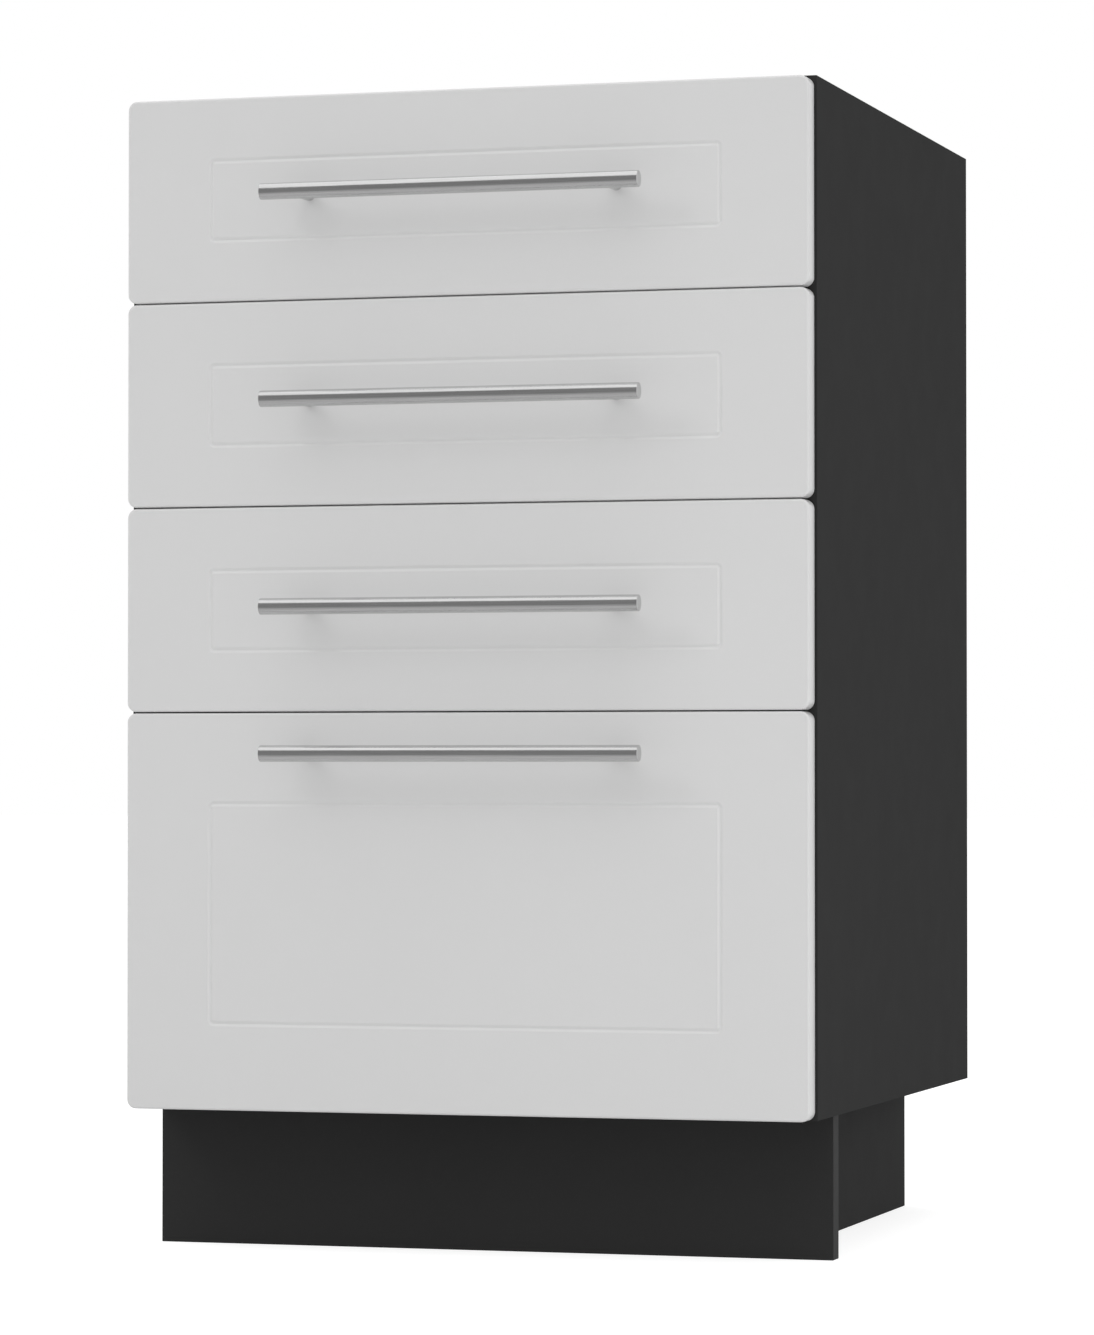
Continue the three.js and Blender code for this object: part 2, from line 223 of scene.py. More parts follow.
def laminate(name, colour, roughness, specular, pearl=900, depth=0.02 * MM):
    """Melamine-faced board: an even tone, a fine pearl embossing and faint cloudy handling marks."""
    material, tree = new_material(name, specular)
    place = stretched(tree)
    cloud = noise(tree, place, scale=7, detail=4)
    grain = noise(tree, place, scale=pearl, detail=2)
    marks = noise(tree, place, scale=28, detail=5, rough=0.6)
    tone = blended(tree, between(tree, cloud, 0, 1), shade(colour, 0.98), shade(colour, 1.02))
    specks = between(tree, grain, 0, 0.5, start=0.6, end=0.8)
    tone = blended(tree, specks, tone, shade(colour, 1.25))
    gloss = between(tree, marks, roughness - 0.02, roughness + 0.04)
    return surfaced(material, tone, gloss, bumped(tree, grain, depth, strength=0.6))


def foil(name, colour):
    """Satin foil pressed over fibreboard: barely visible orange peel, and a soft sheen."""
    material, tree = new_material(name, specular=1.0)
    place = stretched(tree)
    cloud = noise(tree, place, scale=5, detail=3)
    peel = noise(tree, place, scale=260, detail=2, rough=0.4)
    grain = noise(tree, place, scale=2400, detail=1)
    sheen = noise(tree, place, scale=40, detail=4)
    tone = blended(tree, between(tree, cloud, 0, 1), shade(colour, 0.99), shade(colour, 1.01))
    tone = blended(tree, between(tree, grain, 0, 1), shade(colour, 0.985), tone)
    gloss = between(tree, sheen, 0.29, 0.33)
    normal = bumped(tree, peel, depth=0.012 * MM, strength=0.5)
    normal = bumped(tree, grain, depth=0.004 * MM, strength=0.4, below=normal)
    return surfaced(material, tone, gloss, normal)


def brushed(name, colour, roughness, along, fine=3600, coarse=30, depth=0.006 * MM):
    """Brushed metal: hairlines run along one axis, 0 for x, 1 for y, 2 for z."""
    material, tree = new_material(name, metallic=1.0)
    scales = [fine] * 3
    scales[along] = coarse
    lines = noise(tree, stretched(tree, *scales), detail=3, rough=0.6)
    broad = noise(tree, stretched(tree, *(s / 6 for s in scales)), detail=2)
    tone = blended(tree, between(tree, lines, 0, 1), shade(colour, 0.88), shade(colour, 1.1))
    gloss = between(tree, broad, roughness - 0.05, roughness + 0.06)
    return surfaced(material, tone, gloss, bumped(tree, lines, depth, strength=0.5))


def zinc(name, colour, roughness):
    """Zinc-plated rolled steel: long faint rolling lines under a mottled plating."""
    material, tree = new_material(name, metallic=1.0)
    across, along = 1500, 14
    lines = noise(tree, stretched(tree, across, along, across), detail=2)
    mottle = noise(tree, stretched(tree), scale=180, detail=4, rough=0.6)
    tone = blended(tree, between(tree, mottle, 0, 1), shade(colour, 0.86), shade(colour, 1.1))
    tone = blended(tree, between(tree, lines, 0, 0.5), tone, shade(colour, 0.8))
    gloss = between(tree, mottle, roughness - 0.08, roughness + 0.1)
    return surfaced(material, tone, gloss, bumped(tree, lines, depth=0.008 * MM, strength=0.5))


def chipboard(name):
    """The sawn edge of chipboard: pressed flakes of several tones, with painted shade darkening the small
    holes between them.
    """
    dark_flake, pale_flake = (0.36, 0.235, 0.13), (0.56, 0.41, 0.26)
    # The last of these tones is painted shade for the holes between the flakes, not a colour of the wood
    splinter, painted_hole_shade = (0.25, 0.155, 0.085), (0.12, 0.075, 0.045)
    material, tree = new_material(name, specular=0.2)
    cells = {"Vector": stretched(tree), "Scale": 620, "Randomness": 1}
    flakes = add_node(tree, "ShaderNodeTexVoronoi", cells)
    splinters = noise(tree, stretched(tree, 500, 500, 1700), detail=4, rough=0.7)
    tint = add_node(tree, "ShaderNodeSeparateColor", {"Color": flakes.outputs["Color"]})
    tone = blended(tree, tint.outputs["Red"], dark_flake, pale_flake)
    tone = blended(tree, between(tree, splinters, 0, 0.8), tone, splinter)
    # Painted shade: darker where the flakes meet, for small holes that the bump doesn't form
    painted_hole_mask = between(tree, flakes.outputs["Distance"], 0, 1, start=0.45, end=0.75)
    tone = blended(tree, painted_hole_mask, tone, painted_hole_shade)
    rough = between(tree, splinters, 0.8, 0.95)
    return surfaced(material, tone, rough, bumped(tree, splinters, depth=0.12 * MM, strength=0.7))


def hardboard(name, colour, fibre, roughness):
    """Pressed fibre board: matted fibres, more or less hidden under a lacquer."""
    material, tree = new_material(name, specular=0.25)
    place = stretched(tree)
    mat = {"Vector": place, "Scale": 240, "Detail": 6, "Distortion": 1.6}
    matted = add_node(tree, "ShaderNodeTexNoise", mat).outputs["Fac"]
    fine = noise(tree, place, scale=1500, detail=3, rough=0.7)
    cloud = noise(tree, place, scale=9, detail=3)
    tone = blended(tree, between(tree, matted, 0, 1), shade(colour, 1 - fibre), shade(colour, 1 + fibre))
    tone = blended(tree, between(tree, cloud, 0, fibre), tone, shade(colour, 0.8))
    dust = between(tree, fine, 0, fibre, start=0.55, end=0.75)
    tone = blended(tree, dust, tone, shade(colour, 0.55))
    gloss = between(tree, fine, roughness - 0.08, roughness + 0.1)
    normal = bumped(tree, matted, depth=0.05 * MM, strength=0.4 + fibre)
    return surfaced(material, tone, gloss, normal)


def plastic(name, colour, roughness):
    """Moulded plastic with a fine spark-eroded skin."""
    material, tree = new_material(name, specular=0.4)
    place = stretched(tree)
    skin = noise(tree, place, scale=2200, detail=2)
    cloud = noise(tree, place, scale=60, detail=3)
    tone = blended(tree, between(tree, cloud, 0, 1), shade(colour, 0.93), shade(colour, 1.07))
    gloss = between(tree, skin, roughness - 0.05, roughness + 0.08)
    return surfaced(material, tone, gloss, bumped(tree, skin, depth=0.01 * MM, strength=0.5))


GRAPHITE = (0.0292, 0.0292, 0.0292)
LIGHT_GREY = (0.59, 0.59, 0.59)
PALE_GREY = (0.66, 0.66, 0.65)
WHITE_MELAMINE = (0.74, 0.74, 0.73)
STEEL = (0.6, 0.6, 0.6)
RUNNER_ZINC = (0.52, 0.535, 0.55)
SCREW_ZINC = (0.6, 0.61, 0.62)
BALL_STEEL = (0.62, 0.62, 0.63)
DARK_LACQUER = (0.04, 0.04, 0.041)
RAW_FIBRE = (0.3, 0.195, 0.115)
PALE_LACQUER = (0.6, 0.6, 0.585)
GREY_RUBBER = (0.5, 0.51, 0.52)
BAND_PEARL = 1400
BAND_PEARL_DEPTH = 0.01 * MM

graphite = laminate("graphite_laminate", GRAPHITE, roughness=0.65, specular=0.01)
graphite_band = laminate(
    "graphite_edge_band", shade(GRAPHITE, 0.95), 0.55, 0.03, BAND_PEARL, BAND_PEARL_DEPTH
)
grey_foil = foil("grey_foil", LIGHT_GREY)
white_back = laminate("white_melamine", WHITE_MELAMINE, roughness=0.5, specular=0.3)
pale_laminate = laminate("pale_laminate", PALE_GREY, roughness=0.5, specular=0.3)
pale_band = laminate("pale_edge_band", shade(PALE_GREY, 0.98), 0.42, 0.3, BAND_PEARL, BAND_PEARL_DEPTH)
bar_steel = brushed("brushed_steel", STEEL, roughness=0.2, along=0)
runner_zinc = zinc("zinc_plate", RUNNER_ZINC, roughness=0.38)
screw_zinc = zinc("screw_zinc", SCREW_ZINC, roughness=0.37)
ball_steel = brushed(
    "ball_steel", BALL_STEEL, roughness=0.12, along=0, fine=900, coarse=900, depth=0.001 * MM
)
raw_edge = chipboard("raw_chipboard")
back_lacquer = hardboard("graphite_hardboard", DARK_LACQUER, fibre=0.12, roughness=0.6)
back_raw = hardboard("raw_hardboard", RAW_FIBRE, fibre=0.3, roughness=0.8)
bottom_lacquer = hardboard("pale_hardboard", PALE_LACQUER, fibre=0.03, roughness=0.55)
pad_rubber = plastic("pad_rubber", GREY_RUBBER, roughness=0.36)


# ---- Meshes


def slab(low, high):
    """A closed box between two corners."""
    bm = bmesh.new()
    bmesh.ops.create_cube(bm, size=1)
    for v in bm.verts:
        v.co = [(high if v.co[i] > 0 else low)[i] for i in range(3)]
    return bm


def loft(rings):
    """Rings of equally many points, joined one to the next and closed at both ends."""
    bm = bmesh.new()
    rows = [[bm.verts.new(p) for p in ring] for ring in rings]
    count = len(rows[0])
    for lower, upper in zip(rows, rows[1:]):
        for i in range(count):
            j = (i + 1) % count
            bm.faces.new((lower[i], lower[j], upper[j], upper[i]))
    bm.faces.new(reversed(rows[0]))
    bm.faces.new(rows[-1])
    bmesh.ops.recalc_face_normals(bm, faces=bm.faces)
    return bm


def turned(profile, sides):
    """A shape turned round the z axis, from a profile of (radius, height) points off the axis."""
    angles = [2 * math.pi * i / sides for i in range(sides)]
    return loft([[(r * math.cos(a), r * math.sin(a), z) for a in angles] for r, z in profile])


def slot_cutter(centre, length, width, depth, steps=24):
    """A slot with round ends along y, cut through along x."""
    half = length / 2 - width / 2
    outline = []
    for i in range(steps):
        a = 2 * math.pi * (i + 0.5) / steps
        shift = half if math.cos(a) > 0 else -half
        outline.append((shift + width / 2 * math.cos(a), width / 2 * math.sin(a)))
    x, y, z = centre
    return loft([[(x + s * depth / 2, y + u, z + v) for u, v in outline] for s in (-1, 1)])


def merged(parts):
    """One mesh of several, each given with the matrix that places it."""
    bm = bmesh.new()
    for part, matrix in parts:
        part.verts.index_update()
        fresh = [bm.verts.new(matrix @ v.co) for v in part.verts]
        for face in part.faces:
            copy = bm.faces.new([fresh[v.index] for v in face.verts])
            copy.material_index = face.material_index
    bm.verts.index_update()
    return bm


def node_mesh(node):
    """The node's own mesh, with its triangles joined back into flat faces."""
    bm = bmesh.new()
    bm.from_mesh(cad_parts[node].data)
    bmesh.ops.remove_doubles(bm, verts=bm.verts, dist=0.001 * MM)
    bmesh.ops.dissolve_limit(bm, angle_limit=math.radians(1), verts=bm.verts, edges=bm.edges)
    for face in bm.faces:
        face.material_index = 0
    return bm


def as_object(name, bm, materials):
    """An object of the mesh, which is used up, without normals left over from an earlier state."""
    mesh = bpy.data.meshes.new(name)
    bm.to_mesh(mesh)
    bm.free()
    for material in materials:
        mesh.materials.append(material)
    if "custom_normal" in mesh.attributes:
        mesh.attributes.remove(mesh.attributes["custom_normal"])
    obj = bpy.data.objects.new(name, mesh)
    scene.collection.objects.link(obj)
    return obj


def applied(obj):
    """The object with its modifiers applied."""
    bpy.context.view_layer.update()
    graph = bpy.context.evaluated_depsgraph_get()
    mesh = bpy.data.meshes.new_from_object(obj.evaluated_get(graph))
    obj.modifiers.clear()
    obj.data = mesh
    return obj


def combined(obj, other, operation="DIFFERENCE"):
    """The object cut by, or joined with, another mesh, which is used up."""
    tool = as_object("tool", other, list(obj.data.materials))
    modifier = obj.modifiers.new("combine", "BOOLEAN")
    modifier.object = tool
    modifier.operation = operation
    modifier.solver = "EXACT"
    applied(obj)
    bpy.data.objects.remove(tool)
    return obj


def bevelled(obj, width, segments=2, material=-1):
    """The object with its sharp edges rounded over; the new faces take the material of that index."""
    modifier = obj.modifiers.new("bevel", "BEVEL")
    modifier.width = width
    modifier.segments = segments
    modifier.limit_method = "ANGLE"
    modifier.angle_limit = math.radians(SHARP_ANGLE)
    modifier.harden_normals = True
    modifier.material = material
    return obj


def finished(obj, body, replaces=(), smooth=SHARP_ANGLE):
    """Smooths what curves, and ties the piece to its body and the nodes it stands for."""
    mesh = obj.data
    mesh.polygons.foreach_set("use_smooth", [True] * len(mesh.polygons))
    if not any(m.type == "BEVEL" for m in obj.modifiers):
        mesh.set_sharp_from_angle(angle=math.radians(smooth))
        weighted = obj.modifiers.new("flat faces stay flat", "WEIGHTED_NORMAL")
        weighted.keep_sharp = True
    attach(obj, body)
    if replaces:
        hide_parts(*replaces)
    return obj


# ---- Screws


def screw(head_radius, head_height, sink=0.0):
    """A screw's head on the z = 0 plane, domed above it and coned for sink below, with a cross slot."""
    steps = 6
    dome_turn = 0.92 * math.pi / 2  # a little flat is left at the middle
    rim = 0.25 * head_height
    profile = []
    if sink:
        profile.append((head_radius - sink, -sink))
    profile.append((head_radius, 0))
    for i in range(steps + 1):
        a = i / steps * dome_turn
        profile.append((head_radius * math.cos(a), rim + (head_height - rim) * math.sin(a)))
    head = as_object("head", turned(profile, SCREW_SIDES), [])
    blade = 0.16 * head_radius
    reach = 0.55 * head_radius
    slot_depth = 0.75 * max(head_height, 0.9 * MM)
    slot_floor = head_height - slot_depth
    top = head_height * 2
    for x, y in ((reach, blade), (blade, reach)):
        combined(head, slab((-x, -y, slot_floor), (x, y, top)))
    bm = bmesh.new()
    bm.from_mesh(head.data)
    bpy.data.objects.remove(head)
    return bm


def countersink(radius, depth, above):
    """The cutter for a countersunk head, flared a little up to its end above the z = 0 plane."""
    flare = 0.1 * MM
    return turned([(radius - depth, -depth), (radius, 0), (radius + flare, above)], SCREW_SIDES)


def countersunk_screw(sink, fit, dome):
    """The head that lies in that countersink with some play round it."""
    return screw(sink["radius"] - fit, dome, sink["depth"] - 2 * fit)


def facing(direction, place):
    """Turns +z to the direction, at that place."""
    turn = Vector(direction).to_track_quat("Z", "Y").to_matrix().to_4x4()
    return Matrix.Translation(place) @ turn


def placed(part, spots):
    """One mesh with a copy of the part at every spot."""
    return merged([(part, spot) for spot in spots])


# ---- Boards

# The edges of a board, as (axis, sign)
FRONT_EDGE = (1, -1)
REAR_EDGE = (1, 1)
TOP_EDGE = (2, 1)
BOTTOM_EDGE = (2, -1)
ENDS = ((0, -1), (0, 1))


def dressed_board(node, body, skins, bands=(), cutter=None):
    """The node's board with laminated faces, a sawn core, and banded edges where bands says so, as
    (axis, sign) pairs. Skins are the materials of its faces, its bands, its core and its rear face."""
    low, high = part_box(node)
    size = high - low
    thin = min(range(3), key=lambda i: size[i])
    bm = node_mesh(node)
    for face in bm.faces:
        axis = max(range(3), key=lambda i: abs(face.normal[i]))
        sign = 1 if face.normal[axis] > 0 else -1
        edge = high if sign > 0 else low
        outside = abs(face.calc_center_median()[axis] - edge[axis]) < TOUCHING
        if outside and axis == thin:
            face.material_index = 3 if len(skins) > 3 and sign > 0 else 0
        elif outside and (axis, sign) in bands:
            face.material_index = 1
        else:
            face.material_index = 2
    board = as_object(f"{node}_board", bm, skins)
    if cutter is not None:
        combined(board, cutter)
    bevelled(board, BOARD_BEVEL, material=0)
    return finished(board, body, [node])


def make_rail(node, skins):
    """A top rail, drilled for the screws that hold the worktop."""
    low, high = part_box(node)
    middle = (low + high) / 2
    ends = (-RAIL_HOLE_REACH, RAIL_HOLE_REACH)
    drill = turned([(RAIL_HOLE_RADIUS, z) for z in ends], DRILL_SIDES)
    spots = []
    for share in RAIL_HOLE_PLACES:
        spots.append(Matrix.Translation((middle.x + share * (high.x - low.x), middle.y, middle.z)))
    dressed_board(node, "cabinet", skins, [FRONT_EDGE], placed(drill, spots))


def make_carcass():
    """The boards of the carcass and of its base."""
    skins = [graphite, graphite_band, raw_edge]
    for word, _ in SIDES:
        dressed_board(f"side_{word}", "cabinet", skins, [FRONT_EDGE, BOTTOM_EDGE])
    dressed_board("bottom_panel", "cabinet", skins, [FRONT_EDGE])
    make_rail("front_rail", skins)
    make_rail("rear_rail", skins)
    dressed_board("plinth_board", "cabinet", skins, [*ENDS, BOTTOM_EDGE])
    for node in ("base_side_left", "base_side_right", "base_rear"):
        dressed_board(node, "cabinet", skins, [BOTTOM_EDGE, REAR_EDGE])


def make_back_panel():
    """The back panel, lacquered inside and raw outside, held by countersunk screws."""
    low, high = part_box("back_panel")
    places = []
    row_spacing = (high.z - low.z - 2 * BACK_SCREW_END_MARGIN) / (BACK_SCREW_ROWS - 1)
    for x in (low.x + BACK_SCREW_MARGIN, high.x - BACK_SCREW_MARGIN):
        for i in range(BACK_SCREW_ROWS):
            places.append((x, low.z + BACK_SCREW_END_MARGIN + i * row_spacing))
    column_spacing = (high.x - low.x) / (BACK_SCREW_COLUMNS + 1)
    for z in (low.z + 2 * BACK_SCREW_MARGIN, high.z - 2 * BACK_SCREW_MARGIN):
        for i in range(BACK_SCREW_COLUMNS):
            places.append((low.x + (i + 1) * column_spacing, z))
    spots = [facing((0, 1, 0), (x, high.y - BACK_SCREW_DEPTH, z)) for x, z in places]
    skins = [back_lacquer, back_lacquer, back_raw, back_raw]
    sinks = placed(countersink(**BACK_SINK), spots)
    dressed_board("back_panel", "cabinet", skins, [], sinks)
    head = countersunk_screw(BACK_SINK, BACK_SCREW_FIT, BACK_SCREW_DOME)
    heads = as_object("back_panel_screws", placed(head, spots), [screw_zinc])
    finished(heads, "cabinet")


# ---- Drawer fronts and handles


def rounded_ring(half_width, low, high, radius, y, steps=10):
    """An upright rectangle with round corners at that depth, as points."""
    points = []
    corners = ((1, high - radius, 0), (-1, high - radius, 1), (-1, low + radius, 2), (1, low + radius, 3))
    for side, z, quarter in corners:
        x = side * (half_width - radius)
        for i in range(steps + 1):
            a = (quarter + i / steps) * math.pi / 2
            points.append((x + radius * math.cos(a), y, z + radius * math.sin(a)))
    return points


def groove_profile(steps=18):
    """The groove's section as (across, depth) points: a cove whose two lips are rounded over."""
    points = []
    for i in range(steps + 1):
        t = i / steps
        points.append((t * GROOVE_WIDTH, GROOVE_DEPTH * (0.5 - 0.5 * math.cos(2 * math.pi * t))))
    return points


def make_front(k):
    """A front board in one loft: its back bevel, its edge, its arris, its face and the groove in it."""
    low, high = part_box(f"drawer_front_{k}")
    half = high.x
    rings = []

    def ring(inset_x, inset_top, inset_bottom, radius, y):
        rings.append(rounded_ring(half - inset_x, low.z + inset_bottom, high.z - inset_top, radius, y))

    bevel = FRONT_BACK_BEVEL
    ring(bevel, bevel, bevel, FRONT_CORNER_RADIUS - bevel, high.y)
    ring(0, 0, 0, FRONT_CORNER_RADIUS, high.y - bevel)
    arris_steps = 10
    for i in range(arris_steps + 1):
        a = i / arris_steps * math.pi / 2
        inset = FRONT_ARRIS_RADIUS * (1 - math.cos(a))
        depth = FRONT_ARRIS_RADIUS * (1 - math.sin(a))
        ring(inset, inset, inset, FRONT_CORNER_RADIUS - inset, low.y + depth)
    top, bottom = LARGE_GROOVE_INSETS if k == DRAWERS[-1] else SMALL_GROOVE_INSETS
    for across, depth in groove_profile():
        radius = max(GROOVE_CORNER_RADIUS - across, GROOVE_LEAST_RADIUS)
        ring(GROOVE_SIDE_INSET + across, top + across, bottom + across, radius, low.y + depth)
    bm = loft(rings)
    for face in bm.faces:
        face.material_index = 1 if face.normal.y > 0.99 else 0
    front = as_object(f"drawer_front_{k}_panel", bm, [grey_foil, white_back])
    bottom_low, bottom_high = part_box(f"box_bottom_{k}")
    fit = Vector((PANEL_FIT, PANEL_FIT, PANEL_FIT))
    combined(front, slab(bottom_low - fit, bottom_high + fit))
    finished(front, f"drawer_{k}", [f"drawer_front_{k}"], smooth=40)


def bar_profile(radius, half_length, steps=4):
    """The bar's outline as (radius, place) points, with its ends rounded over."""
    end = [(radius - BAR_END_RING, -half_length)]
    for i in range(steps + 1):
        a = i / steps * math.pi / 2
        r = radius - BAR_END_ROUNDING * (1 - math.sin(a))
        end.append((r, -half_length + BAR_END_ROUNDING * (1 - math.cos(a))))
    return end + [(r, -x) for r, x in reversed(end)]


def make_handle(k):
    """A round bar on two posts, which are joined to it, with screws from inside the drawer."""
    low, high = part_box(f"handle_{k}")
    radius = (high.z - low.z) / 2
    axis_y, axis_z = low.y + radius, (low.z + high.z) / 2
    along_x = Matrix.Translation((0, axis_y, axis_z)) @ Matrix.Rotation(math.pi / 2, 4, "Y")
    bar = turned(bar_profile(radius, high.x), sides=72)
    handle = as_object(f"handle_{k}_bar", merged([(bar, along_x)]), [bar_steel])
    shank = turned([(POST_RADIUS, axis_y), (POST_RADIUS, high.y)], sides=40)
    along_y = Matrix.Rotation(-math.pi / 2, 4, "X")
    posts = []
    for _, side in SIDES:
        posts.append(Matrix.Translation((side * POST_SPACING / 2, 0, axis_z)) @ along_y)
    combined(handle, placed(shank, posts), "UNION")
    finished(handle, f"drawer_{k}", [f"handle_{k}"], smooth=30)
    front_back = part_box(f"drawer_front_{k}")[1].y
    head = screw(HANDLE_SCREW_RADIUS, HANDLE_SCREW_HEIGHT)
    spots = [facing((0, 1, 0), (side * POST_SPACING / 2, front_back, axis_z)) for _, side in SIDES]
    screws = as_object(f"handle_screws_{k}", placed(head, spots), [screw_zinc])
    finished(screws, f"drawer_{k}")


# ---- Drawer boxes


def make_box(k):
    """The sides, the back and the bottom of a drawer box, with its cam fittings and screws."""
    body = f"drawer_{k}"
    skins = [pale_laminate, pale_band, raw_edge]
    back_low, back_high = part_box(f"box_back_{k}")
    back_middle = (back_low.y + back_high.y) / 2
    cam_hole = turned([(CAM_HOLE_RADIUS, -CAM_HOLE_DEPTH), (CAM_HOLE_RADIUS, 1 * MM)], sides=40)
    sink = countersink(**BOX_SINK)
    cam_spots = []
    screw_spots = []
    for word, side in SIDES:
        node = f"box_side_{word}_{k}"
        low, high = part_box(node)
        inner, outer = (low.x, high.x) if side > 0 else (high.x, low.x)
        cams = []
        for z in (low.z + CAM_ABOVE_EDGE, high.z - CAM_BELOW_EDGE):
            cams.append(facing((-side, 0, 0), (inner, low.y + CAM_SETBACK, z)))
        screws = []
        for z in (back_low.z + BOX_SCREW_MARGIN, back_high.z - BOX_SCREW_MARGIN):
            screws.append(facing((side, 0, 0), (outer - side * BOX_SCREW_DEPTH, back_middle, z)))
        cutter = merged([(cam_hole, spot) for spot in cams] + [(sink, spot) for spot in screws])
        dressed_board(node, body, skins, [TOP_EDGE, REAR_EDGE], cutter)
        cam_spots += cams
        screw_spots += screws
    dressed_board(f"box_back_{k}", body, skins, [TOP_EDGE])
    dressed_board(f"box_bottom_{k}", body, [bottom_lacquer, bottom_lacquer, back_raw])
    head = countersunk_screw(BOX_SINK, BOX_SCREW_FIT, BOX_SCREW_DOME)
    heads = as_object(f"box_screws_{k}", placed(head, screw_spots), [screw_zinc])
    finished(heads, body)
    cam = screw(CAM_HOLE_RADIUS - CAM_FIT, CAM_DOME, CAM_CONE)
    sunk = Matrix.Translation((0, 0, -CAM_DEPTH))
    cams = as_object(f"box_cams_{k}", placed(cam, [spot @ sunk for spot in cam_spots]), [screw_zinc])
    finished(cams, body)


def make_pads(k):
    """Bumper pads on the rear of the front, where it meets the carcass edges."""
    low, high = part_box(f"drawer_front_{k}")
    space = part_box("side_left")[0].y - high.y
    x = (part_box("side_right")[0].x + high.x) / 2
    dome = [(PAD_RADIUS, 0), (PAD_RADIUS, 0.6 * space), (PAD_TIP_RADIUS, 0.96 * space)]
    spots = []
    for pad_x in (-x, x):
        for z in (low.z + PAD_MARGIN, high.z - PAD_MARGIN):
            spots.append(facing((0, 1, 0), (pad_x, high.y, z)))
    pads = as_object(f"bumper_pads_{k}", placed(turned(dome, sides=32), spots), [pad_rubber])
    finished(pads, f"drawer_{k}")


# ---- Ball runners


def web_slots(low, high, x, spacing, length, width):
    """Slots through a runner's web, spread along it."""
    middle = (low.z + high.z) / 2
    count = int((high.y - low.y - 2 * spacing) // spacing) + 1
    cutters = []
    for i in range(count):
        y = low.y + spacing + i * spacing
        cutters.append((slot_cutter((x, y, middle), length, width, SLOT_CUT), Matrix()))
    return merged(cutters)


def make_outer_member(k, word, side, member, body):
    """A runner's cabinet or drawer member, slotted. Its screws come back, as the mesh of their heads."""
    node = f"runner_{member}_{word}_{k}"
    low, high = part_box(node)
    against = high.x if (side > 0) == (member == "cabinet") else low.x
    inward = -side if member == "cabinet" else side
    web = against + inward * RUNNER_STEEL / 2
    rail = as_object(f"{node}_rail", node_mesh(node), [runner_zinc])
    combined(rail, web_slots(low, high, web, *OUTER_SLOTS))
    bevelled(rail, STEEL_BEVEL)
    finished(rail, body, [node])
    face = against + inward * RUNNER_STEEL
    middle = (low.z + high.z) / 2
    spots = []
    for share in RUNNER_SCREW_PLACES:
        spots.append(facing((inward, 0, 0), (face, low.y + share * (high.y - low.y), middle)))
    return placed(screw(RUNNER_SCREW_RADIUS, RUNNER_SCREW_HEIGHTS[member]), spots)


def make_runner(k, word, side):
    """The three members of one runner, with the screws that hold the outer two."""
    bodies = {"cabinet": "cabinet", "drawer": f"drawer_{k}"}
    heads = {member: make_outer_member(k, word, side, member, body) for member, body in bodies.items()}
    for member, bm in heads.items():
        screws = as_object(f"runner_screws_{member}_{word}_{k}", bm, [screw_zinc])
        finished(screws, bodies[member])
    make_middle(k, word, side)


def make_middle(k, word, side):
    """The intermediate member, a channel, with a ball cage on either face of both its flanges."""
    node = f"runner_middle_{word}_{k}"
    body = f"runner_middle_{k}"
    low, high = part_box(node)
    cabinet_low, cabinet_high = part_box(f"runner_cabinet_{word}_{k}")
    wall = cabinet_high.x if side > 0 else cabinet_low.x
    centre = (low.z + high.z) / 2

    def x_at(distance):
        return wall - side * distance

    web, tip, top = MIDDLE_WEB, MIDDLE_TIP, MIDDLE_HALF_HEIGHT
    inside_web, inside_top = web + RUNNER_STEEL, top - RUNNER_STEEL
    half = [(web, top), (tip, top), (tip, inside_top), (inside_web, inside_top)]
    outline = half + [(u, -v) for u, v in reversed(half)]
    bm = loft([[(x_at(u), y, centre + v) for u, v in outline] for y in (low.y, high.y)])
    channel = as_object(f"{node}_channel", bm, [runner_zinc])
    combined(channel, web_slots(low, high, x_at(web + RUNNER_STEEL / 2), *MIDDLE_SLOTS))
    bevelled(channel, STEEL_BEVEL)
    finished(channel, body, [node])

    ball = bmesh.new()
    bmesh.ops.create_uvsphere(ball, u_segments=14, v_segments=9, radius=BALL_RADIUS)
    start, end = low.y + CAGE_END_GAP, high.y - CAGE_END_GAP
    cages, balls = [], []
    for height, distance in (OUTER_CAGE, INNER_CAGE):
        x0, x1 = sorted((x_at(distance - CAGE_HALF_WIDTH), x_at(distance + CAGE_HALF_WIDTH)))
        for z in (centre - height, centre + height):
            strip = slab((x0, start, z - CAGE_THICKNESS / 2), (x1, end, z + CAGE_THICKNESS / 2))
            cages.append((strip, Matrix()))
            for i in range(int((end - start) // BALL_PITCH)):
                y = start + BALL_PITCH / 2 + i * BALL_PITCH
                balls.append((ball, Matrix.Translation((x_at(distance), y, z))))
    cage = as_object(f"{node}_cages", merged(cages), [runner_zinc])
    bevelled(cage, CAGE_BEVEL)
    finished(cage, body)
    finished(as_object(f"{node}_balls", merged(balls), [ball_steel]), body, smooth=180)


# ---- The whole cabinet

make_carcass()
make_back_panel()
for number in DRAWERS:
    make_front(number)
    make_handle(number)
    make_box(number)
    make_pads(number)
    for side_word, side_sign in SIDES:
        make_runner(number, side_word, side_sign)


# ---- Stage, light and camera

WHITE = (1, 1, 1)
WORLD_STRENGTH = 0.74
UNLIT_TONE = 0.27  # of the studio's walls on the user's side, as metal mirrors them
FLOOR_TONE = 0.62  # of the floor there
FLOOR_SIZE = 60
FLOOR_ALBEDO = 0.75  # of the light that the floor sends back to the object
SHOWN_FLOOR_ALBEDO = 0.4  # of the floor as it is seen, which keeps the object's shadow
SHOWN_FLOOR_GLOW = 0.8  # what lifts that floor to white

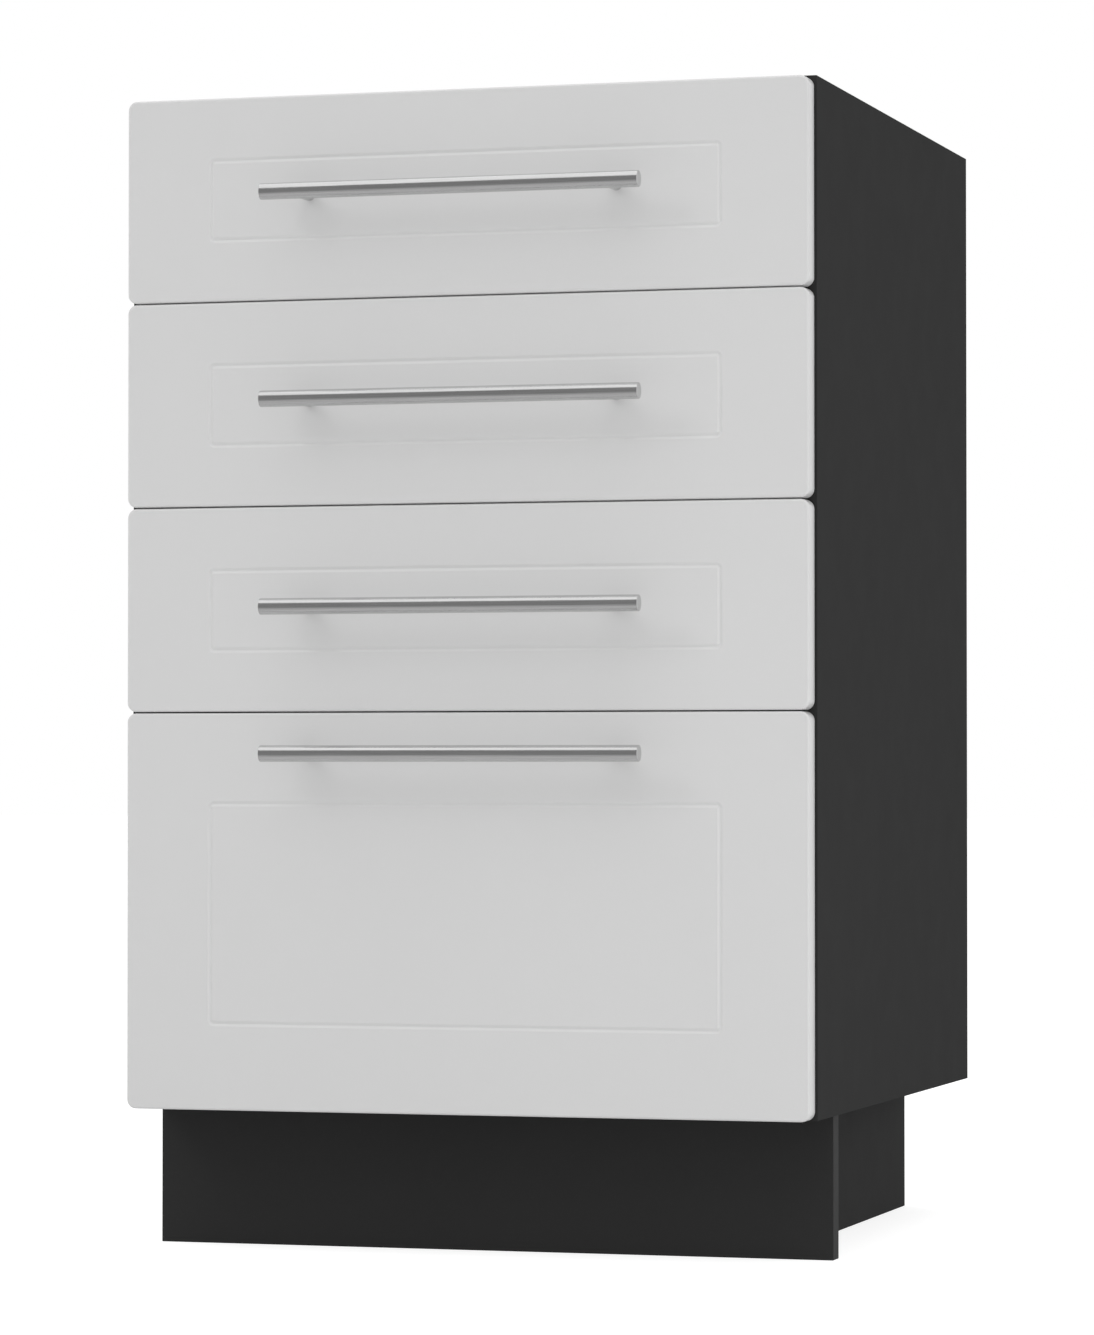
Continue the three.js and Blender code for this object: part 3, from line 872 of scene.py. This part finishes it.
# The softbox high overhead, a weak key from the front left, a low fill from the front right
OVERHEAD = {"place": (-0.8, -1.3, 6), "aim": (-0.8, -1.3, 0), "width": 8, "height": 8.8, "power": 205}
KEY = {"place": (-2.2, -2.9, 2.6), "aim": (0, -0.25, 0.4), "width": 1.2, "height": 1.2, "power": 20}
FILL = {"place": (2.2, -2.0, -0.2), "aim": (0.1, -0.25, 0.1), "width": 1.6, "height": 0.6, "power": 26}

CAMERA_PLACE = (1.0560, -3.56065, 0.3404)
CAMERA_RISE = 1.151  # degrees that it looks up
CAMERA_TURN = 16.649  # degrees that it is turned to the left, because it stands on the right
FOCAL_LENGTH_PX = 5023.9
IMAGE_HEIGHT_PX = 1335
SENSOR_MM = 36


def seen_directly(tree):
    """1 for a ray from the camera, or one that metal or glass has sent on."""
    path = add_node(tree, "ShaderNodeLightPath")
    first = calculated(tree, "MAXIMUM", path.outputs["Is Camera Ray"], path.outputs["Is Glossy Ray"])
    return calculated(tree, "MAXIMUM", first, path.outputs["Is Transmission Ray"])


def make_world():
    """White to the camera, and an even light from all sides. Metal also reflects the studio on the
    user's side: a pale floor and, above it, unlit walls."""
    world = bpy.data.worlds.new("studio")
    scene.world = world
    world.use_nodes = True
    tree = world.node_tree
    tree.nodes.clear()
    place = add_node(tree, "ShaderNodeTexCoord")
    way = add_node(tree, "ShaderNodeSeparateXYZ", {"Vector": place.outputs["Generated"]})
    rise = between(tree, way.outputs["Z"], 0, 1, start=-0.7, end=-0.25)
    front = blended(tree, rise, (FLOOR_TONE,) * 3, (UNLIT_TONE,) * 3)
    sideways = calculated(tree, "ABSOLUTE", way.outputs["X"])
    ahead = between(tree, way.outputs["Y"], 1, 0, start=0.3, end=0.7)
    ahead = calculated(tree, "MULTIPLY", ahead, between(tree, sideways, 1, 0, start=0.5, end=0.75))
    path = add_node(tree, "ShaderNodeLightPath")
    mirrored = calculated(tree, "MULTIPLY", ahead, path.outputs["Is Glossy Ray"])
    tone = blended(tree, mirrored, WHITE, front)
    light = add_node(tree, "ShaderNodeBackground", {"Color": (*WHITE, 1), "Strength": WORLD_STRENGTH})
    shown = add_node(tree, "ShaderNodeBackground", {"Color": tone, "Strength": 1.0})
    sides = {0: seen_directly(tree), 1: light.outputs[0], 2: shown.outputs[0]}
    mix = add_node(tree, "ShaderNodeMixShader", sides)
    add_node(tree, "ShaderNodeOutputWorld", {"Surface": mix.outputs[0]})


def make_floor():
    """A plain pale floor, white where it is seen but for the object's shadow."""
    bm = bmesh.new()
    bmesh.ops.create_grid(bm, x_segments=2, y_segments=2, size=FLOOR_SIZE / 2)
    material = bpy.data.materials.new("pale_floor")
    material.use_nodes = True
    tree = material.node_tree
    tree.nodes.clear()
    bounce = add_node(tree, "ShaderNodeBsdfDiffuse", {"Color": (*shade(WHITE, FLOOR_ALBEDO), 1)})
    shadow = add_node(tree, "ShaderNodeBsdfDiffuse", {"Color": (*shade(WHITE, SHOWN_FLOOR_ALBEDO), 1)})
    glow = add_node(tree, "ShaderNodeEmission", {"Color": (*WHITE, 1), "Strength": SHOWN_FLOOR_GLOW})
    shown = add_node(tree, "ShaderNodeAddShader", {0: shadow.outputs[0], 1: glow.outputs[0]})
    sides = {0: seen_directly(tree), 1: bounce.outputs[0], 2: shown.outputs[0]}
    mix = add_node(tree, "ShaderNodeMixShader", sides)
    add_node(tree, "ShaderNodeOutputMaterial", {"Surface": mix.outputs[0]})
    floor = as_object("floor", bm, [material])
    floor.visible_glossy = False


def area_light(name, place, aim, width, height, power):
    """A rectangular lamp that faces its aim."""
    data = bpy.data.lights.new(name, "AREA")
    data.shape = "RECTANGLE"
    data.size = width
    data.size_y = height
    data.energy = power
    light = bpy.data.objects.new(name, data)
    light.location = place
    light.rotation_euler = (Vector(aim) - Vector(place)).to_track_quat("-Z", "Y").to_euler()
    scene.collection.objects.link(light)
    return light


def make_lights():
    """The three lamps. The fill throws no shadow, and metal mirrors the softbox alone."""
    area_light("overhead", **OVERHEAD)
    key = area_light("key", **KEY)
    fill = area_light("fill", **FILL)
    fill.data.use_shadow = False
    key.visible_glossy = fill.visible_glossy = False


def make_camera():
    """The photograph's camera, solved from the cabinet's straight edges."""
    data = bpy.data.cameras.new("camera")
    data.sensor_width = SENSOR_MM
    data.lens = SENSOR_MM * FOCAL_LENGTH_PX / IMAGE_HEIGHT_PX
    data.clip_end = 200
    camera = bpy.data.objects.new("camera", data)
    camera.location = CAMERA_PLACE
    camera.rotation_euler = (math.radians(90 + CAMERA_RISE), 0, math.radians(CAMERA_TURN))
    scene.collection.objects.link(camera)
    scene.camera = camera


make_world()
make_floor()
make_lights()
make_camera()
scene.view_settings.view_transform = "Standard"
